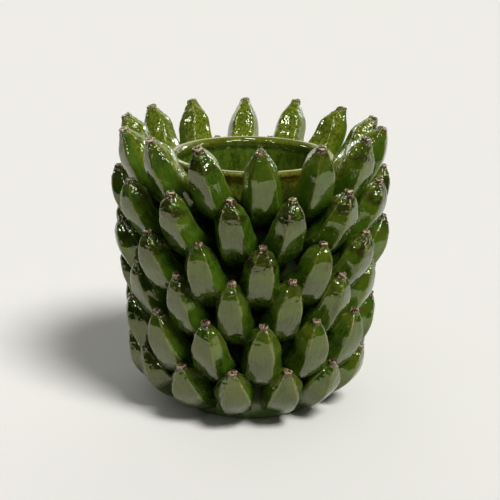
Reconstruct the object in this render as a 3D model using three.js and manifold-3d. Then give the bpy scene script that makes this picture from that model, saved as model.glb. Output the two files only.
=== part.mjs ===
// Banana vase: a straight-sided glazed pot whose outside is covered by six staggered rows of
// banana tips, fourteen to a row. Millimetres, +Z up, origin on the axis at the underside of the foot.
import * as THREE from 'three';
import { mergeVertices } from 'three/addons/utils/BufferGeometryUtils.js';
import Module from 'manifold-3d';

const wasm = await Module();
wasm.setup();

// Thrown pot
const POT_HEIGHT = 273;
const WALL_RADIUS_LOW = 82;
const WALL_RADIUS_HIGH = 85;
const WALL_THICKNESS = 7;
const FLOOR_THICKNESS = 10;
const FLOOR_FILLET = 8;
const FOOT_HEIGHT = 5;
const FOOT_INSET = 2;
const FOOT_RING_WIDTH = 9;
const FOOT_RECESS = 2.5;

// Rolled rim: a bead that stands out from the wall and runs back into it below
const RIM_OVERHANG = 3.5;
const RIM_WIDTH = 10;
const RIM_DEPTH = 9;
const RIM_SLOPE = 4.5;
const RIM_UNDERCUT = 45;

// One banana, from its tip to its root on the wall
const NUB_TOP_RADIUS = 3.5;
const NUB_RADIUS = 5;
const NUB_LENGTH = 4;
const SHOULDER_LENGTH = 34;
const BELLY_RADIUS = 17.8;
const ROOT_RADIUS = 14;
const RIDGES = 5;
const FACET_DEPTH = 0.1;

// Where the rows stand: the tips of the top row above the rim and of the lowest row above the ground,
// their roots below the rim and above the ground, and the tips out from the wall
const CROWN_HEIGHT = 35;
const LOW_TIP_HEIGHT = 75;
const TOP_ROOT_DEPTH = 43;
const LOW_ROOT_HEIGHT = 22;
const TIP_REACH = 59.5;
const PER_ROW = 14;

// The rows from the top down, set by hand a few steps off their even places. The tips stand `inset`
// steps in and `lift` steps up, the roots sit `sink` steps down and `sway` steps to one side. In
// degrees, a banana leaves the wall `rise` above level, ends `lean` out from upright, and its row
// is turned by `turn` round the pot.
const ROW_STEP = 2;
const ROWS = [
  { inset: 2.5, lift: 0, sink: 0, sway: 4, rise: 16, lean: 19, turn: 4 },
  { inset: 1, lift: 0, sink: 0.5, sway: 0, rise: 28, lean: 2, turn: -9 },
  { inset: 0, lift: 0, sink: 3, sway: 0, rise: 26, lean: 8, turn: 5 },
  { inset: 3.5, lift: 3, sink: 2, sway: -0.5, rise: 16, lean: 15, turn: -7 },
  { inset: 4.5, lift: 3, sink: 3, sway: 1, rise: 7, lean: 15, turn: 6 },
  { inset: 6, lift: 0, sink: 0, sway: 0, rise: 28, lean: 18, turn: -7 },
];
const LAST_ROW = ROWS.length - 1;
// The two lowest rows are one solid with the pot, the four above them are pieces of their own.
const SEPARATE_ROWS = 4;
const SEAT_GAP = 0.3;

// Hand-laid scatter: how far a banana may stand from its place in the row, in degrees and millimetres
const SCATTER_TURN = 0.7;
const SCATTER_HEIGHT = 1.5;
const SCATTER_SWAY = 3.5;
const SCATTER_WAVES = new THREE.Vector3(12.9898, 78.233, 37.719);
const SCATTER_SPREAD = 43758.5453;

// Facets
const POT_SIDES = PER_ROW * 3;
const BANANA_SIDES = RIDGES * 2;
const BEAD_STEPS = 3;
const BELLY_STEPS = 2;
const SHOULDER_STEPS = 2;
const WELD_DISTANCE = 1e-4;

const { degToRad, lerp, mapLinear } = THREE.MathUtils;

function wallRadius(z) {
  return mapLinear(z, FOOT_HEIGHT, POT_HEIGHT, WALL_RADIUS_LOW, WALL_RADIUS_HIGH);
}

// Points round the rolled rim, from one angle to another, moved outwards by `grow`.
function bead(grow, from, to) {
  const middleRadius = wallRadius(POT_HEIGHT) + RIM_OVERHANG - RIM_WIDTH / 2;
  const middleHeight = POT_HEIGHT - RIM_DEPTH / 2;
  const points = [];
  for (let i = 0; i <= BEAD_STEPS; i++) {
    const angle = degToRad(lerp(from, to, i / BEAD_STEPS));
    points.push([
      middleRadius + (RIM_WIDTH / 2 + grow) * Math.cos(angle),
      middleHeight + (RIM_DEPTH / 2 + grow) * Math.sin(angle),
    ]);
  }
  return points;
}

// The pot's outside from the foot to the top of the rim, moved outwards by `grow`.
function outerOutline(grow) {
  const rimLow = POT_HEIGHT - RIM_DEPTH;
  return [
    [wallRadius(0) - FOOT_INSET + grow, 0],
    [wallRadius(FOOT_HEIGHT) + grow, FOOT_HEIGHT],
    [wallRadius(rimLow) + grow, rimLow],
    ...bead(grow, -RIM_UNDERCUT, 90),
  ];
}

function potOutline() {
  const recessRadius = wallRadius(0) - FOOT_INSET - FOOT_RING_WIDTH;
  const slopeLow = POT_HEIGHT - RIM_DEPTH - RIM_SLOPE;
  const insideLow = wallRadius(FLOOR_THICKNESS) - WALL_THICKNESS;
  return [
    [0, FOOT_RECESS],
    [recessRadius, FOOT_RECESS],
    [recessRadius + FOOT_RECESS, 0],
    ...outerOutline(0),
    ...bead(0, 90, 180 + RIM_UNDERCUT).slice(1),
    [wallRadius(slopeLow) - WALL_THICKNESS, slopeLow],
    [insideLow, FLOOR_THICKNESS + FLOOR_FILLET],
    [insideLow - FLOOR_FILLET, FLOOR_THICKNESS],
    [0, FLOOR_THICKNESS],
  ];
}

// A solid core as wide as the outside of the pot and `grow`, which cuts the roots to their seat.
function coreOutline(grow) {
  const outer = outerOutline(grow);
  const [footRadius] = outer[0];
  const [, top] = outer.at(-1);
  return [[0, -ROOT_RADIUS], [footRadius, -ROOT_RADIUS], ...outer, [0, top]];
}

function lathe(points) {
  const geometry = new THREE.LatheGeometry(points.map(([r, z]) => new THREE.Vector2(r, z)), POT_SIDES);
  geometry.rotateX(Math.PI / 2);
  return geometry;
}

function solidFrom(geometry) {
  const bare = geometry.clone();
  bare.deleteAttribute('normal');
  bare.deleteAttribute('uv');
  const merged = mergeVertices(bare, WELD_DISTANCE);
  return new wasm.Manifold(new wasm.Mesh({
    numProp: 3,
    vertProperties: merged.getAttribute('position').array,
    triVerts: new Uint32Array(merged.index.array),
  }));
}

function geometryFrom(solid) {
  const mesh = solid.getMesh();
  const geometry = new THREE.BufferGeometry();
  geometry.setAttribute('position', new THREE.BufferAttribute(new Float32Array(mesh.vertProperties), 3));
  geometry.setIndex(new THREE.BufferAttribute(new Uint32Array(mesh.triVerts), 1));
  geometry.computeVertexNormals();
  return geometry;
}

// The largest body of a solid, without chips that a cut has split off.
function mainBody(solid) {
  const bodies = solid.decompose().sort((a, b) => b.volume() - a.volume());
  return bodies[0];
}

// The line that the bananas of row j follow, in the plane of radius and height, from inside the wall
// to the tip.
function bananaSpine(j) {
  const row = ROWS[j];
  const topRootHeight = POT_HEIGHT - TOP_ROOT_DEPTH;
  const topTipHeight = POT_HEIGHT + CROWN_HEIGHT;
  const rootHeight = mapLinear(j, 0, LAST_ROW, topRootHeight, LOW_ROOT_HEIGHT) - row.sink * ROW_STEP;
  const tipHeight = mapLinear(j, 0, LAST_ROW, topTipHeight, LOW_TIP_HEIGHT) + row.lift * ROW_STEP;
  const tip = new THREE.Vector2(wallRadius(tipHeight) + TIP_REACH - row.inset * ROW_STEP, tipHeight);
  const out = new THREE.Vector2(Math.cos(degToRad(row.rise)), Math.sin(degToRad(row.rise)));
  const up = new THREE.Vector2(Math.sin(degToRad(row.lean)), Math.cos(degToRad(row.lean)));
  const root = new THREE.Vector2(wallRadius(rootHeight), rootHeight).addScaledVector(out, -ROOT_RADIUS);
  const span = tip.clone().sub(root);
  const elbow = root.clone().addScaledVector(out, span.cross(up) / out.cross(up));
  return new THREE.QuadraticBezierCurve(root, elbow, tip);
}

// Radius against distance from the tip: a blunt nub, a rounded shoulder, a belly that narrows to the root.
function bananaStations(length) {
  const stations = [[0, NUB_TOP_RADIUS], [NUB_LENGTH / 2, NUB_RADIUS]];
  for (let i = 1; i <= SHOULDER_STEPS; i++) {
    const share = i / SHOULDER_STEPS;
    const swell = Math.sin(share * Math.PI / 2);
    stations.push([NUB_LENGTH + share * SHOULDER_LENGTH, lerp(NUB_RADIUS, BELLY_RADIUS, swell)]);
  }
  const bellyStart = NUB_LENGTH + SHOULDER_LENGTH;
  for (let i = 1; i <= BELLY_STEPS; i++) {
    const share = i / BELLY_STEPS;
    stations.push([lerp(bellyStart, length, share), lerp(BELLY_RADIUS, ROOT_RADIUS, share ** 2)]);
  }
  return stations;
}

// A banana of row j, bent along its spine, with a facet outwards and soft ridges between facets. It
// lies along +X, and `sway` carries its root to one side.
function bananaGeometry(j, sway, grow) {
  const spine = bananaSpine(j);
  const length = spine.getLength();
  const outline = [new THREE.Vector2(0, 0)];
  for (const [fromTip, radius] of bananaStations(length).reverse()) {
    outline.push(new THREE.Vector2(radius + grow, 1 - fromTip / length));
  }
  outline.push(new THREE.Vector2(0, 1));
  const geometry = new THREE.LatheGeometry(outline, BANANA_SIDES);
  const position = geometry.getAttribute('position');
  for (let i = 0; i < position.count; i++) {
    const along = position.getY(i);
    const centre = spine.getPointAt(along);
    const heading = spine.getTangentAt(along);
    const angle = Math.atan2(position.getZ(i), position.getX(i));
    const ridge = 1 - FACET_DEPTH * 0.5 * (1 - Math.cos(RIDGES * (angle + Math.PI / 2)));
    const across = position.getX(i) * ridge + sway * Math.sin((1 - along) * Math.PI / 2);
    const depth = position.getZ(i) * ridge;
    position.setXYZ(i, centre.x + depth * heading.y, across, centre.y - depth * heading.x);
  }
  return geometry;
}

// A repeatable number from -1 to 1 for banana i of row j.
function scatter(i, j, seed) {
  const wave = Math.sin(SCATTER_WAVES.dot(new THREE.Vector3(i, j, seed))) * SCATTER_SPREAD;
  return 2 * (wave - Math.floor(wave)) - 1;
}

// Banana i of row j in its place round the pot. Its row starts at the side that faces -Y.
function layBanana(i, j, grow) {
  const sway = ROWS[j].sway * ROW_STEP + SCATTER_SWAY * scatter(i, j, 1);
  const solid = solidFrom(bananaGeometry(j, sway, grow));
  const turn = ROWS[j].turn + SCATTER_TURN * scatter(i, j, 2) + (360 / PER_ROW) * i;
  return solid.rotate([0, 0, turn - 90]).translate([0, 0, SCATTER_HEIGHT * scatter(i, j, 3)]);
}

function boxesMeet(a, b) {
  const one = a.boundingBox();
  const two = b.boundingBox();
  return [0, 1, 2].every((k) => one.min[k] < two.max[k] && two.min[k] < one.max[k]);
}

const glaze = new THREE.MeshStandardMaterial({ color: 0x2f5a12, roughness: 0.12, metalness: 0 });
const vase = new THREE.Group();

function addMesh(name, solid) {
  const mesh = new THREE.Mesh(geometryFrom(solid), glaze.clone());
  mesh.name = name;
  vase.add(mesh);
}

// The bananas are laid from the foot upwards, and each is pressed against those already there.
const seat = solidFrom(lathe(coreOutline(SEAT_GAP)));
const joint = solidFrom(lathe(coreOutline(-WALL_THICKNESS / 2)));
let pot = solidFrom(lathe(potOutline()));
const laid = [];
for (let j = LAST_ROW; j >= 0; j--) {
  const ownPiece = j < SEPARATE_ROWS;
  for (let i = 0; i < PER_ROW; i++) {
    let banana = layBanana(i, j, 0).subtract(ownPiece ? seat : joint);
    if (ownPiece) {
      for (const other of laid) {
        if (boxesMeet(banana, other)) banana = banana.subtract(other);
      }
      addMesh(`banana_${j + 1}_${String(i + 1).padStart(2, '0')}`, mainBody(banana));
    } else {
      pot = pot.add(banana);
    }
    laid.push(layBanana(i, j, SEAT_GAP));
  }
}
addMesh('pot', mainBody(pot));

export default vase;
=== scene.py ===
"""Banana vase: a glazed, straight-sided pot covered with six rows of pressed banana tips.

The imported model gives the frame. The pot and each banana are modelled again here at a finer
scale, in the same places, and glazed. Sizes are in millimetres, and meshes are in metres.
"""

from __future__ import annotations

import logging
import math
from dataclasses import dataclass, field
from enum import Enum

import bmesh
import bpy
from mathutils import Matrix, Quaternion, Vector


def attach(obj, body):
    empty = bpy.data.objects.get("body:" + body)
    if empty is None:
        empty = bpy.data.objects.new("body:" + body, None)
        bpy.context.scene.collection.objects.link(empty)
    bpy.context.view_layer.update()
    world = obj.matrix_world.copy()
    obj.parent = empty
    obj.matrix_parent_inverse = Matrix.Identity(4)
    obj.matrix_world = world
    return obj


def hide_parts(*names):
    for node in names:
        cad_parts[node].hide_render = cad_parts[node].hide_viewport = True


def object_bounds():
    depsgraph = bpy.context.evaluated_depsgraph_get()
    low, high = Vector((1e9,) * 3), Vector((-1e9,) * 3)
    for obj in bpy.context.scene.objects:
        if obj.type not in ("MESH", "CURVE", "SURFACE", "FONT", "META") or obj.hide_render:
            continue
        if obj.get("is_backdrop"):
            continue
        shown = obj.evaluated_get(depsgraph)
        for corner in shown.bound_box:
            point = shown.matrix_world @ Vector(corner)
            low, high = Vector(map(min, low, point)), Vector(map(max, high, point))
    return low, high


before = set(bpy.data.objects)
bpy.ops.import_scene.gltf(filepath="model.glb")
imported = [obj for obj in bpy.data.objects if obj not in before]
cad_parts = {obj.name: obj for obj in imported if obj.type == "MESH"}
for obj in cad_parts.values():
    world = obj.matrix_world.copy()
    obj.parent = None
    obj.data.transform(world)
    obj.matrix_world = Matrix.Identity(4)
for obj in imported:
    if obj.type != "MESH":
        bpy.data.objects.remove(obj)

LOG = logging.getLogger("banana_vase")
MM = 0.001
Piece = bpy.types.Object
Socket = bpy.types.NodeSocket
Colour = tuple[float, float, float, float]
Span = tuple[float, float]
Triple = tuple[float, float, float]


class Slot(Enum):
    """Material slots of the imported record."""

    POT = "pot_glaze"
    BANANA = "banana_glaze"


class Mark(Enum):
    """Surface attributes that the banana glaze follows."""

    FROM_TIP = "from_tip"
    RIDGE = "ridge"
    SKIN = "skin"


def paint(red: int, green: int, blue: int) -> Colour:
    """Turns a colour written as 0 to 255 display values into scene values by the sRGB curve.

    Args:
        red: Red display value.
        green: Green display value.
        blue: Blue display value.

    Returns:
        The colour in scene-linear values with full opacity.
    """
    linear = []
    for value in (red, green, blue):
        share = value / 255
        linear.append(share / 12.92 if share <= 0.04045 else ((share + 0.055) / 1.055) ** 2.4)
    return (linear[0], linear[1], linear[2], 1.0)


def lerp(low: float, high: float, share: float) -> float:
    """Returns the value a share of the way from low to high."""
    return low + (high - low) * share


def smooth(share: float) -> float:
    """Returns a share from 0 to 1 eased at both ends."""
    held = min(max(share, 0.0), 1.0)
    return held * held * (3 - 2 * held)


def hump(value: float, middle: float, spread: float) -> float:
    """Returns 1 where a value is at the middle, fading to nothing about two spreads away."""
    return math.exp(-(((value - middle) / spread) ** 2))


@dataclass(frozen=True)
class Pattern:
    """A soft random pattern, from 0 to 1 round a middle of a half.

    Attributes:
        scale: Patches per unit of the coordinates.
        detail: How many finer patterns are laid on top.
        roughness: How strong the finer patterns are.
        edge: Levels at which its patches begin and are full.
    """

    scale: float
    detail: float = 2.0
    roughness: float = 0.5
    edge: Span = (0.0, 1.0)


class NodeSheet:
    """A node tree, with short methods that add nodes and join them."""

    MIX_UNDER = 6
    MIX_OVER = 7
    MIX_RESULT = 2

    def __init__(self, tree: bpy.types.NodeTree) -> None:
        """Opens a node tree."""
        self.tree = tree

    def feed(self, socket: Socket, value: object) -> None:
        """Joins a socket to another, or sets its value.

        Args:
            socket: Input socket that is fed.
            value: Output socket, number, vector or colour.
        """
        if isinstance(value, Socket):
            self.tree.links.new(value, socket)
        else:
            socket.default_value = value

    def add(self, kind: str, inputs: dict[int | str, object], **settings: object) -> bpy.types.Node:
        """Adds a node.

        Args:
            kind: Blender's name for the node type.
            inputs: Values or sockets for its inputs, by name or number.
            **settings: Other settings of the node.

        Returns:
            The new node.
        """
        node = self.tree.nodes.new(kind)
        for key, value in settings.items():
            setattr(node, key, value)
        for key, value in inputs.items():
            self.feed(node.inputs[key], value)
        return node

    def place(self, kind: str = "Object") -> Socket:
        """Returns the object coordinates, or another kind."""
        return self.add("ShaderNodeTexCoord", {}).outputs[kind]

    def axis(self, vector: Socket, name: str) -> Socket:
        """Returns the X, Y or Z of a vector."""
        return self.add("ShaderNodeSeparateXYZ", {0: vector}).outputs[name]

    def mark(self, mark: Mark, output: str = "Fac") -> Socket:
        """Returns an attribute of the surface."""
        return self.add("ShaderNodeAttribute", {}, attribute_name=mark.value).outputs[output]

    def scaled(self, vector: Socket, by: Triple) -> Socket:
        """Returns a vector stretched along its axes."""
        return self.add("ShaderNodeVectorMath", {0: vector, 1: by}, operation="MULTIPLY").outputs[0]

    def added(self, one: Socket, two: Socket) -> Socket:
        """Returns the sum of two vectors."""
        return self.add("ShaderNodeVectorMath", {0: one, 1: two}, operation="ADD").outputs[0]

    def noise(self, vector: Socket, pattern: Pattern) -> Socket:
        """Returns a random pattern."""
        inputs = {"Vector": vector, "Scale": pattern.scale, "Detail": pattern.detail}
        return self.add("ShaderNodeTexNoise", inputs | {"Roughness": pattern.roughness}).outputs["Fac"]

    def patches(self, vector: Socket, pattern: Pattern) -> Socket:
        """Returns 1 in the patches of a random pattern and 0 between them."""
        return self.step(self.noise(vector, pattern), *pattern.edge)

    def cells(self, vector: Socket, scale: float) -> Socket:
        """Returns the distance to scattered points."""
        return self.add("ShaderNodeTexVoronoi", {"Vector": vector, "Scale": scale}).outputs["Distance"]

    def calc(self, operation: str, one: object, two: object = 0.0, three: object = 0.0) -> Socket:
        """Returns one number worked out from two or three."""
        return self.add("ShaderNodeMath", {0: one, 1: two, 2: three}, operation=operation).outputs[0]

    def remap(self, value: object, low: float, high: float) -> Socket:
        """Returns a value from 0 to 1 stretched to run from low to high."""
        return self.calc("MULTIPLY_ADD", value, high - low, low)

    def step(self, value: object, start: float, end: float) -> Socket:
        """Eases from 0 to 1 as a value goes from one number to another.

        Args:
            value: The value that is read.
            start: Where the result is 0.
            end: Where the result is 1; it may lie below start.

        Returns:
            The eased result.
        """
        low, high = (1.0, 0.0) if start > end else (0.0, 1.0)
        inputs = {"Value": value, "From Min": min(start, end), "From Max": max(start, end),
                  "To Min": low, "To Max": high}
        return self.add("ShaderNodeMapRange", inputs, interpolation_type="SMOOTHSTEP").outputs["Result"]

    def total(self, *amounts: object) -> Socket:
        """Returns the sum of several numbers."""
        result = amounts[0]
        for amount in amounts[1:]:
            result = self.calc("ADD", result, amount)
        return result

    def both(self, *masks: object) -> Socket:
        """Returns the product of several masks."""
        result = masks[0]
        for mask in masks[1:]:
            result = self.calc("MULTIPLY", result, mask)
        return result

    def mix(self, under: object, over: object, share: object) -> Socket:
        """Lays a share of one colour over another."""
        inputs = {"Factor": share, self.MIX_UNDER: under, self.MIX_OVER: over}
        return self.add("ShaderNodeMix", inputs, data_type="RGBA").outputs[self.MIX_RESULT]


class MaterialSheet(NodeSheet):
    """The node tree of a new material, up to its shader."""

    def __init__(self, name: str) -> None:
        """Starts a material by that name."""
        self.material = bpy.data.materials.new(name)
        self.material.use_nodes = True
        super().__init__(self.material.node_tree)
        self.shader = self.tree.nodes["Principled BSDF"]

    def set(self, **values: object) -> None:
        """Sets or joins inputs of the shader, with _ for a space in their names."""
        for name, value in values.items():
            self.feed(self.shader.inputs[name.replace("_", " ")], value)

    def bump(self, height: object, depth_mm: float, normal: Socket | None = None) -> Socket:
        """Turns a height into a change of the normal.

        Args:
            height: The height, from 0 to 1.
            depth_mm: What a height of 1 stands for.
            normal: A normal that this one is added to.

        Returns:
            The changed normal.
        """
        inputs = {"Height": height, "Distance": depth_mm * MM, "Strength": 1.0}
        if normal is not None:
            inputs["Normal"] = normal
        return self.add("ShaderNodeBump", inputs).outputs["Normal"]


@dataclass(frozen=True)
class Gloss:
    """The hard, clear surface of a lead-rich glaze."""

    roughness: float = 0.05
    ior: float = 1.92
    tint: Colour = (0.97, 0.96, 0.62, 1.0)

    def lay(self, sheet: MaterialSheet) -> None:
        """Sets the gloss on a material's shader."""
        sheet.set(IOR=self.ior, Specular_Tint=self.tint)


class BananaSheet(MaterialSheet):
    """A banana's material, with what its glaze follows.

    Attributes:
        spot: Object coordinates.
        height: Height above the floor in metres.
        from_tip: Distance from the tip in millimetres.
        wander: What makes that distance uneven.
        edge: The uneven distance.
        ridge: 1 on a ridge and 0 in the middle of a facet.
        streaks: Lengthwise random pattern.
        clouds: Soft random pattern.
        inner: 1 on the sides of the top row that face the mouth.
        crumpled: 1 on the bananas whose shoulder is crumpled.
    """

    def __init__(self, name: str, glaze: BananaGlaze) -> None:
        """Starts the material.

        Args:
            name: Name of the material.
            glaze: Its patterns and heights.
        """
        super().__init__(name)
        self.spot = self.place()
        self.height = self.axis(self.spot, "Z")
        self.from_tip = self.mark(Mark.FROM_TIP)
        self.ridge = self.mark(Mark.RIDGE)
        around = self.mark(Mark.SKIN, "Vector")
        lengthwise = self.added(self.scaled(around, glaze.streak_stretch),
                                self.scaled(self.spot, glaze.streak_wander))
        self.streaks = self.noise(lengthwise, glaze.streaks)
        self.clouds = self.noise(self.spot, glaze.clouds)
        self.wander = self.remap(self.noise(self.spot, glaze.wander), -glaze.wander_mm, glaze.wander_mm)
        self.edge = self.total(self.from_tip, self.wander)
        self.inner = self.both(self.step(self.axis(around, "X"), *glaze.mouth_side),
                               self.step(self.height, *glaze.mouth_height))
        self.crumpled = self.both(self.patches(self.spot, glaze.crumples),
                                  self.step(self.height, *glaze.crumple_height),
                                  self.remap(self.inner, 1.0, 0.0))


@dataclass(frozen=True)
class BananaGlaze:
    """Green glaze over tan clay: thick in the facets, thin on the ridges, worn away at the tip, with painted
    shade towards the roots and painted light on the sides that face the mouth.

    A field named _zone holds the distances from the tip in millimetres, and one named _height the
    heights in metres, at which something begins and is full. One named _share, or beginning with
    thick_, says how much of it there is.
    """

    leaf: Colour = paint(86, 120, 27)
    deep: Colour = paint(20, 43, 7)
    olive: Colour = paint(84, 86, 20)
    thin: Colour = paint(150, 146, 66)
    # Painted light: lighter, yellower colour on the sides that face the mouth.
    painted_lit_glaze: Colour = paint(116, 125, 30)
    mottle: Colour = paint(56, 82, 16)
    # Near-black painted shade towards the roots.
    painted_shade: Colour = paint(6, 13, 2)
    brown: Colour = paint(38, 34, 12)
    clay: Colour = paint(82, 58, 40)
    cream: Colour = paint(196, 174, 136)
    pit: Colour = paint(42, 26, 20)
    gloss: Gloss = field(default_factory=Gloss)
    bare_roughness: float = 0.16
    hollow_roughness: float = 0.28

    thick_streaks: Span = (0.04, 0.36)
    thick_clouds: Span = (0.0, 0.42)
    thick_grain: Span = (-0.04, 0.14)
    thick_height: Span = (0.14, -0.07)
    tan_share: float = 0.6
    ridge_share: float = 0.5
    root_shade_share: float = 0.9
    mottle_share: float = 0.85
    lit_side_share: float = 0.9
    inner_bare: Span = (1.0, 0.45)
    brown_share: Span = (0.12, 0.8)
    # Share of the cream ridge lines near the tip, which are partly a painted highlight.
    line_share: float = 0.6
    pit_share: float = 0.85
    flake_share: float = 0.55
    lip_share: Span = (0.5, 0.95)

    streak_stretch: Triple = (9, 9, 0.05)
    streak_wander: Triple = (7, 7, 7)
    streaks: Pattern = Pattern(1.6, 3.0, 0.6, (0.36, 0.66))
    clouds: Pattern = Pattern(42, 3.0, 0.55, (0.36, 0.68))
    grain_clouds: Span = (0.3, 0.7)
    grain: Pattern = Pattern(640, 3.0, 0.6, (0.36, 0.64))
    wander: Pattern = Pattern(95, 3.0, 0.6)
    wander_mm: float = 8.0
    nub_wander: float = 0.7
    crumples: Pattern = Pattern(17, 1.0, edge=(0.42, 0.54))
    mottles: Pattern = Pattern(300, 3.0, 0.65, (0.45, 0.58))
    scorches: Pattern = Pattern(120, edge=(0.34, 0.5))
    line_groups: Pattern = Pattern(17, 1.0, edge=(0.48, 0.56))
    line_pieces: Pattern = Pattern(210, edge=(0.44, 0.6))
    lip_pieces: Pattern = Pattern(120, 1.0, edge=(0.42, 0.52))
    flakes: Pattern = Pattern(300, 1.0, edge=(0.57, 0.63))
    pits: Pattern = Pattern(260, 2.0, 0.6, (0.44, 0.56))

    mouth_height: Span = (0.235, 0.26)
    mouth_side: Span = (0.3, -0.4)
    crumple_height: Span = (0.13, 0.19)
    thin_height: Span = (0.08, 0.22)
    lip_height: Span = (0.12, 0.26)
    tan_zone: Span = (44, 16)
    tan_clouds: Span = (0.58, 0.4)
    ridge_zone: Span = (80, 34)
    ridge_edge: Span = (0.8, 1.0)
    ridge_streaks: Span = (0.66, 0.4)
    root_shade_zone: Span = (50, 104)
    dull_zone: Span = (64, 84)
    brown_zone: Span = (28, 20)
    line_zone: Span = (26, 8)
    line_edge: Span = (0.72, 1.0)
    nub_zone: Span = (6.6, 3.8)
    lip_inner_zone: Span = (0.2, 0.7)
    lip_outer_zone: Span = (2.9, 1.5)

    ripples: Pattern = Pattern(130, 2.0, 0.55)
    ripple_ridge: Span = (0.35, 1.9)
    ripple_mm: float = 0.45
    bubbles: Pattern = Pattern(220, 1.0)
    bubble_mm: float = 0.42
    creases: Pattern = Pattern(210, 1.0)
    crease_zone: Span = (27, 21)
    crease_share: Span = (0.1, 1.0)
    crease_mm: float = 1.0
    grit: Pattern = Pattern(360, 2.0, 0.6)
    grit_zone: Span = (8, 4.5)
    grit_mm: float = 0.8

    def make(self, name: str) -> bpy.types.Material:
        """Makes the glaze.

        Args:
            name: Name of the material.

        Returns:
            The material.
        """
        skin = BananaSheet(name, self)
        colour = self.glaze_colour(skin)
        # Painted light on the sides of the top row that face the mouth.
        colour = self.lit_side_colour(skin, colour)
        colour = self.edge_colour(skin, colour)
        uneven = skin.calc("MULTIPLY_ADD", skin.wander, self.nub_wander, skin.from_tip)
        nub = skin.step(uneven, *self.nub_zone)
        bare = skin.both(nub, skin.remap(skin.inner, *self.inner_bare))
        colour = skin.mix(colour, self.bare_colour(skin), bare)
        dull = skin.total(skin.remap(nub, self.gloss.roughness, self.bare_roughness),
                          skin.both(skin.step(skin.from_tip, *self.dull_zone), self.hollow_roughness))
        self.gloss.lay(skin)
        skin.set(Base_Color=colour, Roughness=dull, Normal=self.relief(skin))
        return skin.material

    def glaze_colour(self, skin: BananaSheet) -> Socket:
        """Mixes the glaze from the shoulder down to the root, with painted shade darkening it towards the
        root.

        Args:
            skin: The material.

        Returns:
            The colour.
        """
        speckle = skin.both(skin.patches(skin.spot, self.grain), skin.step(skin.clouds, *self.grain_clouds))
        thick = skin.total(skin.remap(skin.step(skin.streaks, *self.streaks.edge), *self.thick_streaks),
                           skin.remap(skin.step(skin.clouds, *self.clouds.edge), *self.thick_clouds),
                           skin.remap(speckle, *self.thick_grain),
                           skin.remap(skin.step(skin.height, *self.thin_height), *self.thick_height))
        body = skin.mix(self.leaf, self.deep, thick)
        tanned = skin.both(skin.step(skin.from_tip, *self.tan_zone),
                           skin.step(skin.clouds, *self.tan_clouds), self.tan_share)
        body = skin.mix(body, self.olive, tanned)
        thin = skin.both(skin.step(skin.ridge, *self.ridge_edge),
                         skin.step(skin.streaks, *self.ridge_streaks),
                         skin.step(skin.from_tip, *self.ridge_zone), self.ridge_share)
        body = skin.mix(body, self.thin, thin)
        # Painted shade: the glaze darkens to near black towards the root, where the bananas shade each other
        # and the wall.
        root = skin.both(skin.step(skin.from_tip, *self.root_shade_zone), self.root_shade_share)
        return skin.mix(body, self.painted_shade, root)

    def lit_side_colour(self, skin: BananaSheet, colour: Socket) -> Socket:
        """Lays painted light over the sides that face the mouth: a lighter, yellower glaze colour, broken by
        the glaze's own mottles.

        Args:
            skin: The material.
            colour: The glaze below.

        Returns:
            The colour.
        """
        mottled = skin.both(skin.patches(skin.spot, self.mottles), self.mottle_share)
        painted_lit_glaze = skin.mix(self.painted_lit_glaze, self.mottle, mottled)
        return skin.mix(colour, painted_lit_glaze, skin.both(skin.inner, self.lit_side_share))

    def edge_colour(self, skin: BananaSheet, colour: Socket) -> Socket:
        """Lays the brown skin and the cream ridge lines near the tip over the glaze; the cream lines are
        partly worn glaze and partly a painted highlight.

        Args:
            skin: The material.
            colour: The glaze below.

        Returns:
            The colour.
        """
        brown = skin.both(skin.step(skin.edge, *self.brown_zone), skin.patches(skin.spot, self.scorches),
                          skin.remap(skin.crumpled, *self.brown_share))
        # Cream lines on the ridges near the tip: partly worn glaze, partly a painted highlight.
        line = skin.both(skin.step(skin.ridge, *self.line_edge), skin.step(skin.edge, *self.line_zone),
                         skin.patches(skin.spot, self.line_groups),
                         skin.patches(skin.spot, self.line_pieces), self.line_share)
        return skin.mix(skin.mix(colour, self.brown, brown), self.cream, line)

    def bare_colour(self, skin: BananaSheet) -> Socket:
        """Mixes the bare, pitted clay of the tip, cream round the edge of its end.

        Args:
            skin: The material.

        Returns:
            The colour.
        """
        pits = skin.both(skin.patches(skin.spot, self.pits), self.pit_share)
        lip = skin.both(skin.step(skin.from_tip, *self.lip_inner_zone),
                        skin.step(skin.from_tip, *self.lip_outer_zone),
                        skin.remap(skin.step(skin.height, *self.lip_height), *self.lip_share))
        worn = skin.calc("MAXIMUM", skin.both(lip, skin.patches(skin.spot, self.lip_pieces)),
                         skin.both(skin.patches(skin.spot, self.flakes), self.flake_share))
        return skin.mix(skin.mix(self.clay, self.pit, pits), self.cream, worn)

    def relief(self, skin: BananaSheet) -> Socket:
        """Adds the ripples of the glaze and the crumpled skin near the tip.

        Args:
            skin: The material.

        Returns:
            The normal.
        """
        ripple = skin.both(skin.noise(skin.spot, self.ripples), skin.remap(skin.ridge, *self.ripple_ridge))
        bubbly = skin.both(skin.inner, skin.noise(skin.spot, self.bubbles))
        creased = skin.both(skin.step(skin.from_tip, *self.crease_zone),
                            skin.remap(skin.crumpled, *self.crease_share),
                            skin.noise(skin.spot, self.creases))
        gritty = skin.both(skin.step(skin.from_tip, *self.grit_zone), skin.noise(skin.spot, self.grit))
        normal = None
        for height, depth_mm in ((ripple, self.ripple_mm), (bubbly, self.bubble_mm),
                                 (creased, self.crease_mm), (gritty, self.grit_mm)):
            normal = skin.bump(height, depth_mm, normal)
        return normal


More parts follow.
